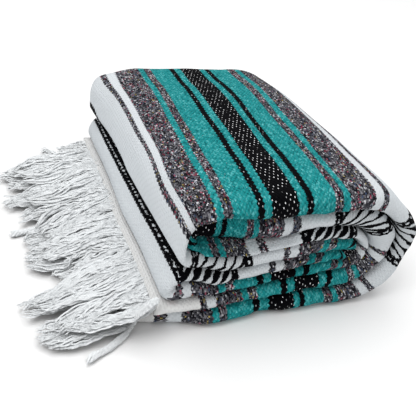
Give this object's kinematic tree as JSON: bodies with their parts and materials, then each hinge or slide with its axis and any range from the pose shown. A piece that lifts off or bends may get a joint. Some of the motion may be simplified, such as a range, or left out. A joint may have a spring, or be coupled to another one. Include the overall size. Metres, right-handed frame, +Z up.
{
  "type": "folded serape blanket",
  "caption": "Striped woven serape blanket folded into a thick layered block, plain white ends and knotted fringe lying out at one side.",
  "frame": {"origin": "middle of the folded block's flat underside", "axes": "+X along the cloth's length, across its stripes, away from the fringe; +Y from the block's front with the folded edges to its back with the selvedges; +Z up"},
  "size_m": [0.3617, 0.3597, 0.1346],
  "materials": {
    "striped_cloth": "coarse weft-faced weave in teal, black, white and flecked grey stripes",
    "white_cloth": "coarse weft-faced weave in off-white yarn",
    "white_fringe": "soft twisted white cotton yarn"
  },
  "bodies": {
    "root": {"folded_core": "striped_cloth", "outer_stretch": "striped_cloth", "lower_left_fold": "white_cloth", "end_band_upper": "white_cloth", "end_band_lower": "white_cloth", "fringe_upper": "white_fringe", "fringe_lower": "white_fringe"}
  },
  "joints": []
}
